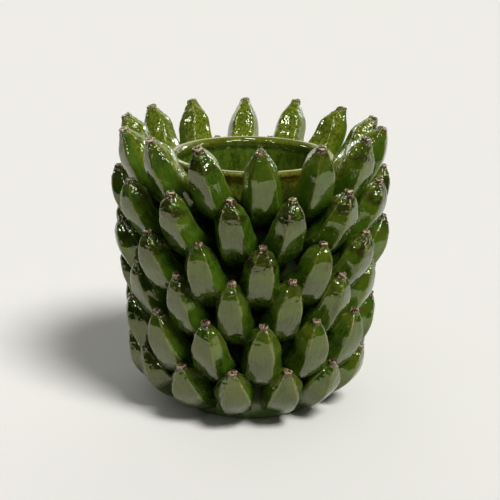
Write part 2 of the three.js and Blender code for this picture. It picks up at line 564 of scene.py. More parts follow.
class PotSheet(MaterialSheet):
    """The pot's material, with what its glaze follows.

    Attributes:
        spot: Object coordinates.
        height: Height above the floor in millimetres.
        from_axis: Distance from the pot's axis in millimetres.
        streaks: Random pattern drawn out downwards.
        clouds: Soft random pattern.
        grain: Fine random pattern.
    """

    def __init__(self, name: str, glaze: PotGlaze) -> None:
        """Starts the material.

        Args:
            name: Name of the material.
            glaze: Its patterns and heights.
        """
        super().__init__(name)
        self.glaze = glaze
        self.spot = self.place()
        self.height = self.calc("MULTIPLY", self.axis(self.spot, "Z"), 1 / MM)
        flat = self.scaled(self.spot, (1 / MM, 1 / MM, 0))
        self.from_axis = self.add("ShaderNodeVectorMath", {0: flat}, operation="LENGTH").outputs["Value"]
        across = 1 / (glaze.streak_width_mm * MM)
        downwards = self.scaled(self.spot, (across, across, across * glaze.streak_drop))
        self.streaks = self.noise(downwards, glaze.streaks)
        self.clouds = self.noise(self.spot, glaze.clouds)
        self.grain = self.noise(self.spot, glaze.grain)

    def below(self, height: Socket, span: Span) -> Socket:
        """Eases from 0 to 1 between two heights given from the rim."""
        return self.step(height, self.glaze.rim_mm + span[0], self.glaze.rim_mm + span[1])

    def beside(self, span: Span) -> Socket:
        """Eases from 0 to 1 between two distances given from the wall."""
        return self.step(self.from_axis, self.glaze.wall_mm + span[0], self.glaze.wall_mm + span[1])


@dataclass(frozen=True)
class PotGlaze:
    """The same glaze on the thrown pot, run in streaks down the wall and thin on the rim, with painted shade
    on the wall between the bananas and under the rim, painted light on the foot, and a pale top line on the
    rim that is partly a painted reflection.

    A field named _height is a height in millimetres at which something begins and is full. One
    named _below is such a height less that of the rim, and one named _beside a distance from the
    axis less that of the wall. One named _share, or beginning with thick_, says how much of it
    there is.
    """

    leaf: Colour = paint(98, 122, 34)
    deep: Colour = paint(46, 68, 14)
    # Painted shadow in a band under the rolled rim, inside and out.
    dark: Colour = paint(26, 46, 8)
    # Pale top line of the rim: partly glaze worn thin on the edge, partly a painted reflection.
    thin: Colour = paint(200, 198, 150)
    olive: Colour = paint(112, 106, 28)
    brown: Colour = paint(70, 52, 18)
    spot: Colour = paint(92, 108, 52)
    clay: Colour = paint(176, 140, 108)
    # Painted shade on the outer wall between and behind the bananas.
    painted_shade: Colour = paint(8, 18, 4)
    # Painted light: a lighter colour low on the pot, where the lowest bananas shade the foot and the floor
    # shows in its gloss.
    foot: Colour = paint(142, 180, 98)
    gloss: Gloss = field(default_factory=Gloss)
    bare_roughness: float = 0.7
    hollow_roughness: float = 0.85

    thick_streaks: Span = (0.0, 0.5)
    thick_grain: Span = (-0.1, 0.2)
    thick_clouds: Span = (0.0, 0.35)
    painted_shade_share: float = 0.85
    rim_shadow_share: float = 0.85
    painted_foot_light_share: float = 0.7
    band_share: Span = (0.3, 0.8)
    band_brown_share: float = 0.6
    drip_olive_share: float = 0.7
    drip_brown_share: float = 0.8
    line_share: float = 0.62

    rim_mm: float = 273.0
    wall_mm: float = 85.0
    streak_width_mm: float = 6.0
    streak_drop: float = 0.3
    streaks: Pattern = Pattern(1.0, 3.0, 0.6, (0.38, 0.62))
    clouds: Pattern = Pattern(60, 3.0, 0.6, (0.38, 0.62))
    grain: Pattern = Pattern(380, 3.0, 0.65, (0.34, 0.66))
    ripples: Pattern = Pattern(110)
    ripple_mm: float = 0.35
    bubble_mm: float = 0.4
    spots_per_metre: float = 210
    spot_size: Span = (0.34, 0.16)
    spot_clouds: Span = (0.44, 0.6)
    spot_height: Span = (40, 20)
    foot_height: Span = (18, 9)
    bare_height: Span = (0.9, 0.4)
    hollow_beside: Span = (-6, -4.5)
    hollow_low_height: Span = (12, 24)
    hollow_high_height: Span = (246, 232)
    outer_beside: Span = (-4, -1)
    rim_shadow_from_below: Span = (-16, -12)
    rim_shadow_to_below: Span = (-7, -10)
    band_wander_mm: float = 6.0
    band_below: Span = (-8, -4)
    band_beside: Span = (-6, -1)
    band_grain: Span = (0.44, 0.62)
    drip_from_below: Span = (-40, -20)
    drip_to_below: Span = (-2, -5)
    drip_clouds: Span = (0.6, 0.42)
    drip_grain: Span = (0.46, 0.6)
    line_wander_mm: float = 0.8
    line_below: Span = (-0.8, -0.4)

    def make(self, name: str) -> bpy.types.Material:
        """Makes the glaze.

        Args:
            name: Name of the material.

        Returns:
            The material.
        """
        wall = PotSheet(name, self)
        colour = self.rim_colour(wall, self.wall_colour(wall))
        # Painted shade on the outer wall between and behind the bananas, which is also made rougher.
        painted_shade = wall.both(wall.beside(self.hollow_beside),
                           wall.step(wall.height, *self.hollow_low_height),
                           wall.step(wall.height, *self.hollow_high_height))
        colour = wall.mix(colour, self.painted_shade, wall.both(painted_shade, self.painted_shade_share))
        bare = wall.step(wall.height, *self.bare_height)
        rough = wall.calc("MAXIMUM", wall.remap(bare, self.gloss.roughness, self.bare_roughness),
                          wall.both(painted_shade, self.hollow_roughness))
        self.gloss.lay(wall)
        ripple = wall.bump(wall.noise(wall.spot, self.ripples), self.ripple_mm)
        bubbly = wall.both(wall.beside(self.outer_beside), wall.grain)
        wall.set(Base_Color=wall.mix(colour, self.clay, bare), Roughness=rough,
                 Normal=wall.bump(bubbly, self.bubble_mm, ripple))
        return wall.material

    def wall_colour(self, wall: PotSheet) -> Socket:
        """Mixes the streaky wall, the painted shadow under the rim, the painted light on the foot and the
        spotted foot.

        Args:
            wall: The material.

        Returns:
            The colour.
        """
        thick = wall.total(wall.remap(wall.step(wall.streaks, *self.streaks.edge), *self.thick_streaks),
                           wall.remap(wall.step(wall.grain, *self.grain.edge), *self.thick_grain),
                           wall.remap(wall.step(wall.clouds, *self.clouds.edge), *self.thick_clouds))
        colour = wall.mix(self.leaf, self.deep, thick)
        # Painted shadow: a dark band just under the rolled rim, inside and out.
        painted_rim_shadow = wall.both(wall.below(wall.height, self.rim_shadow_from_below),
                              wall.below(wall.height, self.rim_shadow_to_below), self.rim_shadow_share)
        colour = wall.mix(colour, self.dark, painted_rim_shadow)
        # Painted light: lighter colour below 18 mm, in place of the floor's reflection and the light under
        # the lowest bananas.
        foot = wall.both(wall.step(wall.height, *self.foot_height), self.painted_foot_light_share)
        colour = wall.mix(colour, self.foot, foot)
        spots = wall.both(wall.step(wall.cells(wall.spot, self.spots_per_metre), *self.spot_size),
                          wall.step(wall.clouds, *self.spot_clouds),
                          wall.step(wall.height, *self.spot_height))
        return wall.mix(colour, self.spot, spots)

    def rim_colour(self, wall: PotSheet, colour: Socket) -> Socket:
        """Lays the olive and brown band, what runs down from it, and the pale top line over the wall; the top
        line is partly glaze worn thin on the edge and partly a painted reflection.

        Args:
            wall: The material.
            colour: The wall's colour.

        Returns:
            The colour.
        """
        uneven = wall.calc("MULTIPLY_ADD", wall.clouds, self.band_wander_mm, wall.height)
        band = wall.both(wall.below(uneven, self.band_below),
                         wall.remap(wall.beside(self.band_beside), *self.band_share))
        colour = wall.mix(colour, self.olive, band)
        brown = wall.both(band, wall.step(wall.grain, *self.band_grain), self.band_brown_share)
        colour = wall.mix(colour, self.brown, brown)
        drips = wall.both(wall.beside(self.outer_beside),
                          wall.below(wall.height, self.drip_from_below),
                          wall.below(wall.height, self.drip_to_below))
        olive = wall.both(drips, wall.step(wall.clouds, *self.drip_clouds), self.drip_olive_share)
        brown = wall.both(drips, wall.step(wall.grain, *self.drip_grain), self.drip_brown_share)
        colour = wall.mix(wall.mix(colour, self.olive, olive), self.brown, brown)
        # Pale top line: partly glaze worn thin on the edge, partly a painted reflection.
        top = wall.below(wall.calc("MULTIPLY_ADD", wall.clouds, self.line_wander_mm, wall.height),
                         self.line_below)
        return wall.mix(colour, self.thin, wall.both(top, self.line_share))


@dataclass(frozen=True)
class MattPaint:
    """Matt paint of the studio floor and its screen."""

    colour: Colour = paint(228, 226, 220)
    bounce: Colour = paint(132, 131, 128)
    roughness: float = 0.85
    specular: float = 0.1

    def make(self, name: str) -> bpy.types.Material:
        """Makes the paint, which throws less light on the vase than its colour would.

        Args:
            name: Name of the material.

        Returns:
            The material.
        """
        sheet = MaterialSheet(name)
        rays = sheet.add("ShaderNodeLightPath", {}).outputs
        seen = sheet.calc("MAXIMUM", rays["Is Camera Ray"], rays["Is Glossy Ray"])
        seen = sheet.calc("MAXIMUM", seen, rays["Is Transmission Ray"])
        sheet.set(Base_Color=sheet.mix(self.bounce, self.colour, seen), Roughness=self.roughness,
                  Specular_IOR_Level=self.specular)
        return sheet.material


class Workbench:
    """Selecting, applying and copying, as the hand tools need it."""

    @staticmethod
    def only(piece: Piece) -> None:
        """Selects one object and nothing else."""
        bpy.ops.object.select_all(action="DESELECT")
        piece.select_set(True)
        bpy.context.view_layer.objects.active = piece

    @staticmethod
    def edit(piece: Piece, selected: bool = False) -> bmesh.types.BMesh:
        """Opens an object for editing with all or nothing selected, and returns its edit mesh."""
        Workbench.only(piece)
        bpy.ops.object.mode_set(mode="EDIT")
        bpy.ops.mesh.select_all(action="SELECT" if selected else "DESELECT")
        return bmesh.from_edit_mesh(piece.data)

    @staticmethod
    def leave() -> None:
        """Ends the editing."""
        bpy.ops.object.mode_set(mode="OBJECT")

    @staticmethod
    def apply(piece: Piece, kind: str, **settings: object) -> None:
        """Adds a modifier with its settings and applies it.

        Args:
            piece: The object.
            kind: Blender's name for the modifier type.
            **settings: Settings of the modifier.
        """
        Workbench.only(piece)
        modifier = piece.modifiers.new(kind.title(), kind)
        for key, value in settings.items():
            setattr(modifier, key, value)
        bpy.ops.object.modifier_apply(modifier=modifier.name)

    @staticmethod
    def copy(piece: Piece, name: str) -> Piece:
        """Copies an object with a mesh and vertex groups of its own.

        Args:
            piece: The object that is copied.
            name: Name of the copy.

        Returns:
            The copy.
        """
        twin = bpy.data.objects.new(name, piece.data.copy())
        twin.data.name = name
        for group in piece.vertex_groups:
            twin.vertex_groups.new(name=group.name)
        bpy.context.scene.collection.objects.link(twin)
        return twin

    @staticmethod
    def coat(piece: Piece, material: bpy.types.Material) -> None:
        """Gives an object smooth shading and one material."""
        Workbench.only(piece)
        bpy.ops.object.shade_smooth()
        piece.data.materials.clear()
        piece.data.materials.append(material)


@dataclass(frozen=True)
class Station:
    """Where a ring stands: its centre in metres and the rise of its heading in radians."""

    centre: Vector
    rise: float


class SpineTrack:
    """The curve of one banana at the front of the pot, read by distance from the tip."""

    SAMPLES = 240

    def __init__(self, root: Vector, elbow: Vector, tip: Vector) -> None:
        """Measures the curve.

        Args:
            root: Root as radius and height in millimetres.
            elbow: Control point between root and tip.
            tip: Tip.
        """
        self.points = []
        self.lengths = [0.0]
        for i in range(self.SAMPLES + 1):
            t = i / self.SAMPLES
            self.points.append(tip * (1 - t) ** 2 + elbow * 2 * t * (1 - t) + root * t**2)
        for one, two in zip(self.points, self.points[1:]):
            self.lengths.append(self.lengths[-1] + (two - one).length)
        self.length = self.lengths[-1]

    def at(self, from_tip: float) -> Station:
        """Finds a place on the curve.

        Args:
            from_tip: Distance from the tip in millimetres.

        Returns:
            The centre there, and the rise of the line towards the tip.
        """
        index = 0
        while index < self.SAMPLES - 1 and self.lengths[index + 1] < from_tip:
            index += 1
        share = (from_tip - self.lengths[index]) / (self.lengths[index + 1] - self.lengths[index])
        point = self.points[index].lerp(self.points[index + 1], share)
        heading = self.heading(index, share)
        return Station(Vector((0.0, -point.x, point.y)) * MM, math.atan2(heading.y, heading.x))

    def heading(self, index: int, share: float) -> Vector:
        """Returns the direction towards the tip, eased between samples."""
        here = self.points[index] - self.points[index + 1]
        after = min(index + 1, self.SAMPLES - 1)
        there = self.points[after] - self.points[after + 1]
        return here.lerp(there, min(max(share, 0.0), 1.0))

    def locate(self, point: Vector) -> tuple[float, float]:
        """Finds where a point of the mesh lies on the banana.

        Args:
            point: The point in metres.

        Returns:
            Its distance from the tip in millimetres, and its angle round the banana in radians.
        """
        flat = Vector((-point.y, point.z)) / MM
        index = min(range(len(self.points)), key=lambda i: (self.points[i] - flat).length_squared)
        heading = self.heading(min(index, self.SAMPLES - 1), 0.0).normalized()
        offset = flat - self.points[index]
        distance = max(self.lengths[index] - offset.dot(heading), 0.0)
        outwards = offset.x * heading.y - offset.y * heading.x
        return distance, math.atan2(point.x / MM, outwards)


class RingMaker:
    """Shapes a tube as by hand: a circle that is extruded, turned and scaled ring by ring."""

    NO_TURN = 1e-6
    CORNER = "corner"

    def __init__(self, name: str, sides: int) -> None:
        """Starts a tube.

        Args:
            name: Name of the object.
            sides: Corners of each ring.
        """
        self.name = name
        self.sides = sides
        self.piece: Piece | None = None
        self.last: Station | None = None
        self.radius = 0.0

    def start(self, radius: float) -> None:
        """Adds the first ring flat on the bench, with its inner side towards +Y.

        Args:
            radius: Its radius in millimetres.
        """
        bpy.ops.object.select_all(action="DESELECT")
        bpy.ops.mesh.primitive_circle_add(vertices=self.sides, radius=radius * MM, location=(0, 0, 0))
        self.piece = bpy.context.object
        self.piece.name = self.name
        self.radius = radius
        corner = self.piece.data.attributes.new(self.CORNER, "FLOAT", "POINT")
        for vertex in self.piece.data.vertices:
            turns = math.atan2(vertex.co.x, vertex.co.y) % (2 * math.pi) / (2 * math.pi)
            corner.data[vertex.index].value = round(turns * self.sides) % self.sides

    def scale_corners(self, corners: list[int], by: Span) -> None:
        """Scales some corners of the first ring about its centre.

        Args:
            corners: Numbers of the corners, from the inner one round.
            by: Scale sideways, and scale inwards and outwards.
        """
        mesh = Workbench.edit(self.piece)
        number = mesh.verts.layers.float[self.CORNER]
        for vertex in mesh.verts:
            vertex.select_set(round(vertex[number]) in corners)
        bpy.ops.transform.resize(value=(by[0], by[1], 1), center_override=(0, 0, 0))
        Workbench.leave()

    def turn_flat(self, degrees: float) -> None:
        """Turns the first ring about its centre while it lies flat."""
        Workbench.edit(self.piece, selected=True)
        bpy.ops.transform.rotate(value=math.radians(degrees), orient_axis="Z", center_override=(0, 0, 0))
        Workbench.leave()

    def set_down(self, station: Station) -> None:
        """Moves the first ring to its place and opens it for extruding.

        Args:
            station: Where it stands.
        """
        self.piece.rotation_euler = (math.pi / 2 - station.rise, 0, 0)
        self.piece.location = station.centre
        Workbench.only(self.piece)
        bpy.ops.object.transform_apply(location=True, rotation=True, scale=True)
        Workbench.edit(self.piece, selected=True)
        self.last = station

    def ring(self, station: Station, radius: float) -> None:
        """Extrudes the next ring, turned and scaled to its place.

        Args:
            station: Where it stands.
            radius: Its radius in millimetres.
        """
        step = station.centre - self.last.centre
        bpy.ops.mesh.extrude_region_move(TRANSFORM_OT_translate={"value": step})
        turn = station.rise - self.last.rise
        if abs(turn) > self.NO_TURN:
            bpy.ops.transform.rotate(value=turn, orient_axis="X", center_override=station.centre)
        scale = radius / self.radius
        bpy.ops.transform.resize(value=(scale, scale, scale), center_override=station.centre)
        self.last = station
        self.radius = radius

    def dimple(self, radius: float, depth: float) -> None:
        """Ends the tube in a small ring set on past the last one.

        Args:
            radius: Its radius in millimetres.
            depth: How far past the last one it stands in millimetres.
        """
        heading = Vector((0.0, -math.cos(self.last.rise), math.sin(self.last.rise)))
        self.ring(Station(self.last.centre + heading * (depth * MM), self.last.rise), radius)

    def finish(self) -> Piece:
        """Closes both ends, turns the faces outwards and leaves edit mode.

        Returns:
            The tube.
        """
        bpy.ops.mesh.edge_face_add()
        bpy.ops.mesh.select_all(action="DESELECT")
        bpy.ops.mesh.select_non_manifold()
        bpy.ops.mesh.edge_face_add()
        bpy.ops.mesh.select_all(action="SELECT")
        bpy.ops.mesh.normals_make_consistent(inside=False)
        Workbench.leave()
        return self.piece


@dataclass(frozen=True)
class PotSizes:
    """Sizes of the thrown pot in millimetres.

    The two edges are listed as points: distance outwards from the recess or the foot, and height.
    """

    height: float = 273.0
    wall_radius_low: float = 82.0
    wall_radius_high: float = 85.0
    wall_thickness: float = 7.0
    floor_thickness: float = 10.0
    floor_fillet: float = 8.0
    foot_height: float = 5.0
    foot_inset: float = 2.0
    foot_ring_width: float = 9.0
    foot_recess: float = 2.5
    foot_bevel: float = 0.1
    recess_edge: tuple[Span, ...] = ((-1.0, 2.5), (1.2, 1.5), (2.5, 0.05), (3.1, 0.0))
    foot_edge: tuple[Span, ...] = ((-0.8, 0.0), (-0.1, 0.4), (0.5, 1.6))
    hub_radius: float = 6.0
    inside_slack: float = 0.2
    rim_overhang: float = 3.5
    rim_width: float = 10.0
    rim_depth: float = 9.0
    rim_slope: float = 1.6
    rim_flat: float = 0.72
    below_rim_outside: float = 4.0
    below_rim_inside: float = 5.0

    def wall_radius(self, height: float) -> float:
        """Returns the outer radius of the wall at a height."""
        share = (height - self.foot_height) / (self.height - self.foot_height)
        return lerp(self.wall_radius_low, self.wall_radius_high, share)


@dataclass(frozen=True)
class Pot:
    """The thrown pot: foot ring, wall with throwing rings, rolled rim and flat floor."""

    sizes: PotSizes = field(default_factory=PotSizes)
    sides: int = 98
    wall_steps: int = 20
    rim_start: float = -50
    rim_end: float = 206
    rim_steps: int = 17
    throwing_pitch: float = 8.0
    throwing_depth: float = 0.18
    fillet_angles: Triple = (30, 60, 90)
    smooth_levels: int = 1
    recess_ring: float = 0.5
    floor_rings: Span = (0.66, 0.33)

    def rim(self) -> list[Span]:
        """Lists points round the rolled rim, from below its outside over the top.

        Returns:
            Radius and height of each point in millimetres.
        """
        sizes = self.sizes
        middle = sizes.wall_radius(sizes.height) + sizes.rim_overhang - sizes.rim_width / 2
        points = []
        for i in range(self.rim_steps + 1):
            angle = math.radians(lerp(self.rim_start, self.rim_end, i / self.rim_steps))
            across = math.cos(angle)
            slope = sizes.rim_slope * smooth((sizes.rim_flat - across) / (sizes.rim_flat + 1))
            height = sizes.height - sizes.rim_depth / 2 + sizes.rim_depth / 2 * math.sin(angle) - slope
            points.append((middle + sizes.rim_width / 2 * across, height))
        return points

    def outside(self) -> list[Span]:
        """Lists points from the middle of the underside up to the rim.

        Returns:
            Radius and height of each point in millimetres.
        """
        sizes = self.sizes
        foot = sizes.wall_radius(0) - sizes.foot_inset
        recess = foot - sizes.foot_ring_width
        points = [(sizes.hub_radius, sizes.foot_recess), (recess * self.recess_ring, sizes.foot_recess)]
        points += [(recess + out, height) for out, height in sizes.recess_edge]
        points += [(foot + out, height) for out, height in sizes.foot_edge]
        points.append((sizes.wall_radius(sizes.foot_height) - sizes.foot_bevel, sizes.foot_height))
        top = sizes.height - sizes.rim_depth - sizes.below_rim_outside
        for i in range(1, self.wall_steps + 1):
            height = lerp(sizes.foot_height, top, i / self.wall_steps)
            points.append((sizes.wall_radius(height), height))
        return points

    def inside(self) -> list[Span]:
        """Lists points from the rim down the throwing rings to the middle of the floor.

        Returns:
            Radius and height of each point in millimetres.
        """
        sizes = self.sizes
        top = sizes.height - sizes.rim_depth - sizes.below_rim_inside
        low = sizes.floor_thickness + sizes.floor_fillet
        steps = int((top - low) / self.throwing_pitch * 2)
        points = []
        for i in range(steps + 1):
            height = lerp(top, low, i / steps)
            wave = self.throwing_depth * math.sin(2 * math.pi * height / self.throwing_pitch)
            radius = sizes.wall_radius(height) - sizes.wall_thickness + wave - sizes.inside_slack
            points.append((radius, height))
        inner = sizes.wall_radius(sizes.floor_thickness) - sizes.wall_thickness - sizes.floor_fillet
        for angle in self.fillet_angles:
            bend = math.radians(angle)
            radius = inner + sizes.floor_fillet * math.cos(bend) - sizes.inside_slack
            points.append((radius, low - sizes.floor_fillet * math.sin(bend)))
        points += [(inner * share, sizes.floor_thickness) for share in self.floor_rings]
        return points + [(sizes.hub_radius, sizes.floor_thickness)]

    def build(self, glaze: bpy.types.Material) -> None:
        """Makes the pot.

        Args:
            glaze: Its material.
        """
        outline = self.outside() + self.rim() + self.inside()
        maker = RingMaker("glazed_pot", self.sides)
        stations = [Station(Vector((0, 0, height * MM)), math.pi / 2) for _, height in outline]
        maker.start(outline[0][0])
        maker.set_down(stations[0])
        for station, (radius, _) in zip(stations[1:], outline[1:]):
            maker.ring(station, radius)
        pot = maker.finish()
        Workbench.apply(pot, "SUBSURF", levels=self.smooth_levels, render_levels=self.smooth_levels)
        Workbench.coat(pot, glaze)
        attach(pot, "root")
        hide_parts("pot")
        LOG.info("pot: %d faces", len(pot.data.polygons))


@dataclass(frozen=True)
class BananaSizes:
    """Sizes of one banana in millimetres, measured from its tip.

    The swells are what smoothing would take away, and what the pressed clay bulges by.
    """

    nub_radius: float = 5.0
    nub_length: float = 4.0
    shoulder_length: float = 34.0
    belly_radius: float = 17.8
    root_radius: float = 14.0
    swell: float = 1.055
    nub_swell: float = 0.25
    nub_swell_at: float = 3.2
    nub_swell_spread: float = 2.6
    nub_fade: float = 9.0
    shoulder_swell_at: float = 14.0
    shoulder_swell_spread: float = 5.5
    dome_start: float = 1.2
    dome_length: float = 3.2
    heel_from: float = 40.0
    heel_length: float = 34.0
    girth_from: float = 14.0
    girth_length: float = 18.0
    dimple_share: float = 0.5
    dimple_depth: float = 0.2

    def radius(self, from_tip: float, length: float) -> float:
        """Returns the radius of the banana over its ridges.

        Args:
            from_tip: Distance from the tip along the banana.
            length: Length of the whole banana.

        Returns:
            The radius.
        """
        if from_tip <= self.nub_length:
            return self.nub_radius
        into_shoulder = (from_tip - self.nub_length) / self.shoulder_length
        if into_shoulder < 1:
            return lerp(self.nub_radius, self.belly_radius, math.sin(into_shoulder * math.pi / 2))
        belly_start = self.nub_length + self.shoulder_length
        share = (from_tip - belly_start) / (length - belly_start)
        return lerp(self.belly_radius, self.root_radius, share**2)

    def ring_radius(self, from_tip: float, length: float, row: Row) -> float:
        """Works out the radius of a ring before it is smoothed.

        Args:
            from_tip: Distance from the tip in millimetres.
            length: Length of the whole banana.
            row: The row, with what it adds at the belly, the root, the shoulder and the tip.

        Returns:
            The radius.
        """
        base = self.radius(from_tip, length) * self.swell
        knob = self.nub_swell * hump(from_tip, self.nub_swell_at, self.nub_swell_spread)
        nub = row.nub * hump(from_tip, 0, self.nub_fade)
        shoulder = row.shoulder * hump(from_tip, self.shoulder_swell_at, self.shoulder_swell_spread)
        heel = row.heel * smooth((from_tip - self.heel_from) / self.heel_length)
        girth = row.girth * smooth((from_tip - self.girth_from) / self.girth_length)
        dome = math.sqrt(min(1.0, (from_tip + self.dome_start) / self.dome_length))
        return (base + knob + nub + shoulder + heel + girth) * dome


@dataclass(frozen=True)
class Row:
    """One row of bananas: how it is off its even place, and how full its bananas are.

    Attributes:
        inset: How far the tips stand in, in row steps.
        lift: How far the tips stand up, in row steps.
        sink: How far the roots stand down, in row steps.
        sway: How far the roots stand to the right, in row steps.
        rise: Degrees by which a banana rises as it leaves the wall.
        lean: Degrees by which its tip leans out.
        turn: Degrees by which the whole row is turned round the pot.
        girth: Millimetres added at the belly.
        heel: Millimetres added at the root.
        width: How much wider than deep a banana is.
        nub: Millimetres added at the tip.
        shoulder: Millimetres added at the shoulder.
    """

    inset: float
    lift: float
    sink: float
    sway: float
    rise: float
    lean: float
    turn: float
    girth: float = 0.0
    heel: float = 4.4
    width: float = 1.05
    nub: float = 0.4
    shoulder: float = 1.5


@dataclass(frozen=True)
class Press:
    """One kind of unevenness of the pressed clay, in millimetres.

    Attributes:
        name: Name of its random pattern and of the vertices that it moves.
        grain: Size of the pattern.
        strength: How far it moves the surface.
        middle: Level of the pattern that leaves the surface where it is.
        reach: Distance from the tip where it ends; 0 where it goes all over.
        fade: Length over which it fades there.
    """

    name: str
    grain: float
    strength: float
    middle: float
    reach: float = 0.0
    fade: float = 1.0

    def share(self, from_tip: float) -> float:
        """Returns how much of it works at a distance from the tip, from 0 to 1."""
        return smooth((self.reach - from_tip) / self.fade)


class Draw(Enum):
    """What a random number is drawn for."""

    SWAY = 1
    TURN = 2
    HEIGHT = 3
    TWIST = 4


@dataclass(frozen=True)
class BananaRows:
    """All the bananas round the pot, from the top row down."""

    pot: PotSizes = field(default_factory=PotSizes)
    banana: BananaSizes = field(default_factory=BananaSizes)
    rows: tuple[Row, ...] = (
        Row(inset=2.5, lift=0, sink=0, sway=4, rise=16, lean=19, turn=4, nub=1.2, shoulder=0.0),
        Row(inset=1, lift=0, sink=0.5, sway=0, rise=28, lean=2, turn=-9),
        Row(inset=0, lift=0, sink=3, sway=0, rise=26, lean=8, turn=5, nub=0),
        Row(inset=3.5, lift=3, sink=2, sway=-0.5, rise=16, lean=15, turn=-7),
        Row(inset=4.5, lift=3, sink=3, sway=1, rise=7, lean=15, turn=6, girth=0.6, width=1.08),
        Row(inset=6, lift=0, sink=0, sway=0, rise=28, lean=18, turn=-7, girth=1.6, heel=-1.5, width=1.15,
            shoulder=0.4),
    )
    presses: tuple[Press, ...] = (
        Press("lumps", grain=22, strength=1.0, middle=0.75),
        Press("creases", grain=5, strength=1.3, middle=0.7, reach=26, fade=14),
        Press("knobs", grain=3, strength=2.0, middle=0.75, reach=9, fade=5),
    )
    per_row: int = 14
    separate_rows: int = 4
    row_step: float = 2.0
    crown_height: float = 35.0
    low_tip_height: float = 75.0
    top_root_depth: float = 43.0
    low_root_height: float = 22.0
    tip_reach: float = 58.6
    scatter_turn: float = 0.7
    scatter_height: float = 1.5
    scatter_sway: float = 3.5
    scatter_waves: Triple = (12.9898, 78.233, 37.719)
    scatter_spread: float = 43758.5453

    near_rings: tuple[float, ...] = (0.2, 0.9, 2, 3.4, 5, 6.8, 8.8, 11, 13.6, 16.4, 20, 24, 28, 33, 38)
    far_rings: int = 8
    section_sides: int = 10
    facet_share: float = 0.893
    front_ridges: Span = (1.09, 0.955)
    front_facet: Span = (1.0, 0.975)
    back_fill: float = 5.0
    back_fill_at: float = 19.0
    back_fill_spread: float = 11.0
    seat_depth: float = 5.5
    belly_sag: float = 2.0
    belly_sag_at: float = 58.0
    belly_sag_spread: float = 20.0
    twists: tuple[float, ...] = (-15.0, -6.0, 3.0, 12.0)
    crown_twists: tuple[float, ...] = (28.0, 40.0)
    crown_back: tuple[int, int] = (4, 10)
    ridge_crease: float = 0.5
    tip_crease: float = 0.25
    on_ridge: float = 0.99
    ridge_bevel: float = 1.1
    ridge_segments: int = 2
    ridge_span: Span = (9.0, 76.0)
    smooth_levels: int = 2

    def scatter(self, place: int, row: int, draw: Draw) -> float:
        """Returns a repeatable number from -1 to 1 for one banana."""
        waves = self.scatter_waves
        wave = math.sin(place * waves[0] + row * waves[1] + draw.value * waves[2]) * self.scatter_spread
        return 2 * (wave - math.floor(wave)) - 1

    def twist(self, place: int, number: int) -> float:
        """Picks how far a banana's facets are turned about its own axis.

        Args:
            place: The place in the row, 0 at the front.
            number: The row, 0 at the top.

        Returns:
            The twist in degrees.
        """
        across_mouth = number == 0 and self.crown_back[0] <= place <= self.crown_back[1]
        choice = self.crown_twists if across_mouth else self.twists
        return choice[int((self.scatter(place, number, Draw.TWIST) + 1) / 2 * len(choice))]

    def spine(self, number: int) -> tuple[Vector, Vector, Vector]:
        """Works out the curve that a row's bananas follow.

        Args:
            number: The row, 0 at the top.

        Returns:
            Root, elbow and tip as points of radius and height in millimetres.
        """
        row = self.rows[number]
        share = number / (len(self.rows) - 1)
        root_height = lerp(self.pot.height - self.top_root_depth, self.low_root_height, share)
        root_height -= row.sink * self.row_step
        tip_height = lerp(self.pot.height + self.crown_height, self.low_tip_height, share)
        tip_height += row.lift * self.row_step
        tip_radius = self.pot.wall_radius(tip_height) + self.tip_reach - row.inset * self.row_step
        tip = Vector((tip_radius, tip_height))
        out = Vector((math.cos(math.radians(row.rise)), math.sin(math.radians(row.rise))))
        up = Vector((math.sin(math.radians(row.lean)), math.cos(math.radians(row.lean))))
        root = Vector((self.pot.wall_radius(root_height), root_height)) - out * self.banana.root_radius
        span = tip - root
        elbow = root + out * (span.cross(up) / out.cross(up))
        return root, elbow, tip

    def stations(self, length: float) -> list[float]:
        """Lists where the rings of a banana stand.

        Args:
            length: Length of the banana.

        Returns:
            Distances from the tip, from the root up.
        """
        last = self.near_rings[-1]
        rest = length - last
        far = [last + rest * i / self.far_rings for i in range(1, self.far_rings + 1)]
        return list(reversed([*self.near_rings, *far]))

    def model_master(self, number: int, twist: float) -> Piece:
        """Models one banana of a row, standing at the front of the pot.

        Args:
            number: The row, 0 at the top.
            twist: Degrees that its facets are turned about its own axis.

        Returns:
            The finished banana, before it is copied round the pot.
        """
        root, elbow, tip = self.spine(number)
        row = self.rows[number]
        track = SpineTrack(root, elbow, tip)
        first, *others = self.stations(track.length)
        maker = RingMaker(f"row_{number + 1}_master", self.section_sides)
        maker.start(self.banana.ring_radius(first, track.length, row))
        self.shape_section(maker, row.width)
        maker.turn_flat(twist)
        maker.set_down(track.at(first))
        for from_tip in others:
            radius = self.banana.ring_radius(from_tip, track.length, row)
            maker.ring(self.sagged(track.at(from_tip), from_tip), radius)
        maker.dimple(self.banana.nub_radius * self.banana.dimple_share, self.banana.dimple_depth)
        banana = maker.finish()
        self.mark_cage(banana, track)
        self.fill_back(banana, track)
        Workbench.apply(banana, "SUBSURF", levels=self.smooth_levels, render_levels=self.smooth_levels)
        self.round_ridges(banana)
        self.cut_root(banana, self.pot.wall_radius(root.y) - self.seat_depth)
        return banana

    def shape_section(self, maker: RingMaker, width: float) -> None:
        """Draws the facets in and widens the one that faces outwards.

        Args:
            maker: The banana's first ring.
            width: How much wider than deep the banana is.
        """
        middle = self.section_sides // 2
        maker.scale_corners(list(range(1, self.section_sides, 2)), (self.facet_share, self.facet_share))
        maker.scale_corners([middle - 1, middle + 1], self.front_ridges)
        maker.scale_corners([middle], self.front_facet)
        maker.scale_corners(list(range(self.section_sides)), (width, 1.0))

